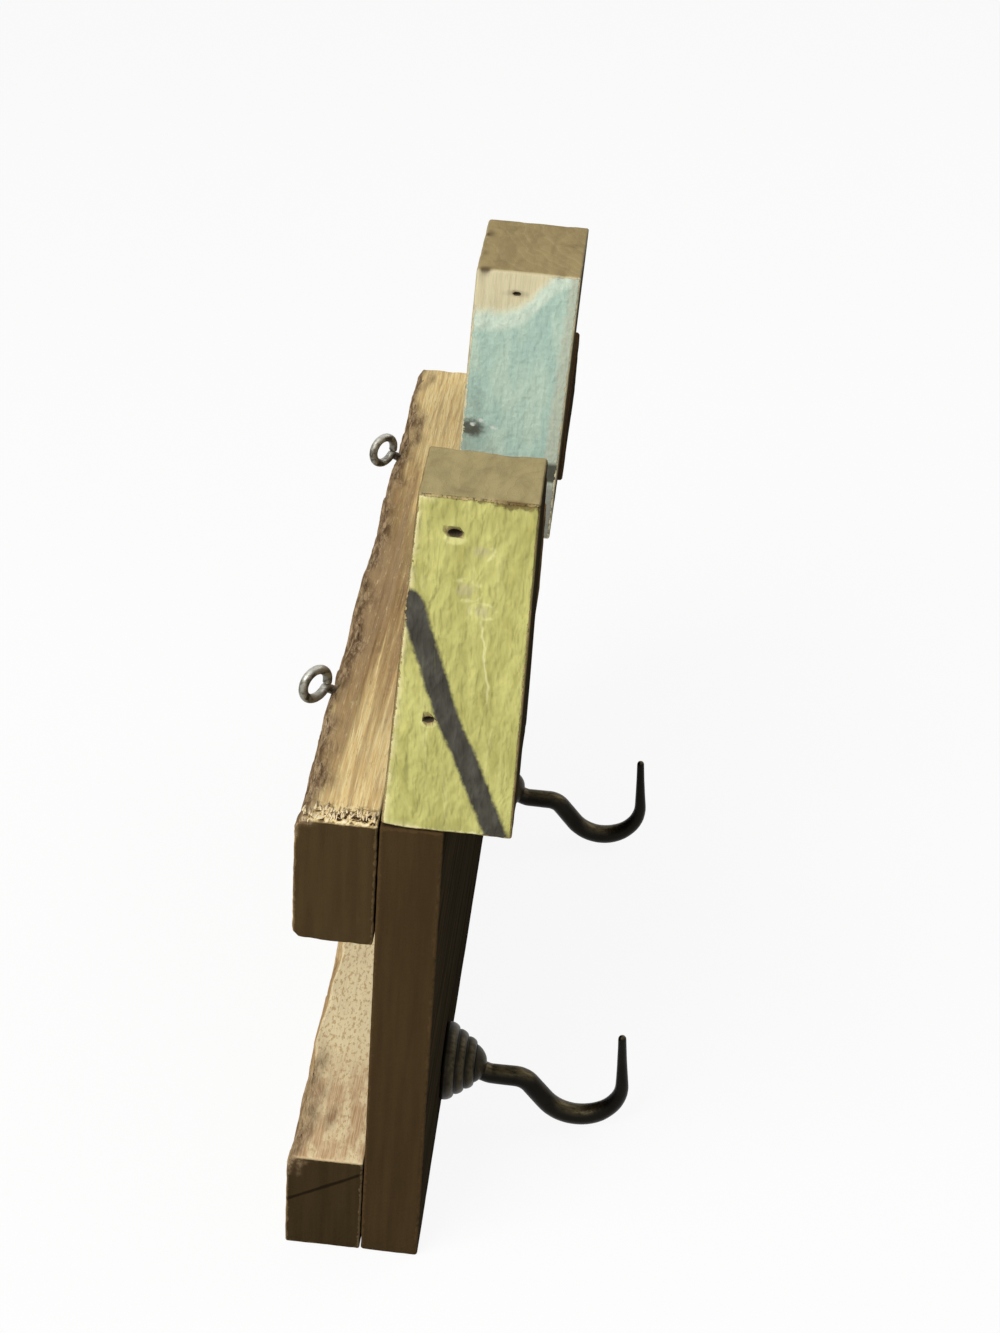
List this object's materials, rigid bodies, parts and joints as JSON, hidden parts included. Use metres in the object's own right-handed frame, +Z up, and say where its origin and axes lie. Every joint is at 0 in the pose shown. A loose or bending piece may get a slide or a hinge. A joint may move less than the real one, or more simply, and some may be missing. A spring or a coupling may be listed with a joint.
{
  "type": "wall hook rack",
  "caption": "Rustic reclaimed-timber wall rack: an upright board on wall battens, painted blocks along its top edge and screw-in hooks with beehive rosettes.",
  "frame": {"origin": "centre of the upper batten's back face, in the wall plane", "axes": "+Z up, +Y towards the wall, front and hooks towards -Y, +X along the rack to the right as seen from the front"},
  "size_m": [0.305, 0.1172, 0.283],
  "materials": {
    "board_wood": "dark stained pine, sawn and worn",
    "upper_batten_wood": "bare reclaimed timber with a bark edge and a dark end",
    "lower_batten_wood": "pale bare timber with a bark edge and a dark end",
    "green_paint": "worn yellow-green paint over timber with bare end grain",
    "brown_wood": "weathered brown timber",
    "low_wood": "weathered dark timber",
    "blue_paint": "worn pale blue paint over bare timber",
    "end_wood": "weathered grey-brown timber",
    "dowel_wood": "plain turned beech",
    "screw_steel": "dull zinc plate",
    "hook_bronze": "antique dark bronze finish, rubbed at the high spots",
    "eye_zinc": "weathered zinc plate"
  },
  "bodies": {
    "root": {"hook_board": "board_wood", "upper_batten": "upper_batten_wood", "lower_batten": "lower_batten_wood", "green_block": "green_paint", "brown_block": "brown_wood", "low_block": "low_wood", "blue_block": "blue_paint", "end_block": "end_wood", "green_block_dowels": "dowel_wood", "brown_block_dowels": "dowel_wood", "low_block_dowels": "dowel_wood", "blue_block_dowels": "dowel_wood", "end_block_dowels": "dowel_wood", "upper_batten_screws": "screw_steel", "lower_batten_screws": "screw_steel", "left_hook": "hook_bronze", "right_hook": "hook_bronze", "left_rosette": "hook_bronze", "right_rosette": "hook_bronze", "left_screw_eye": "eye_zinc", "right_screw_eye": "eye_zinc"}
  },
  "joints": []
}
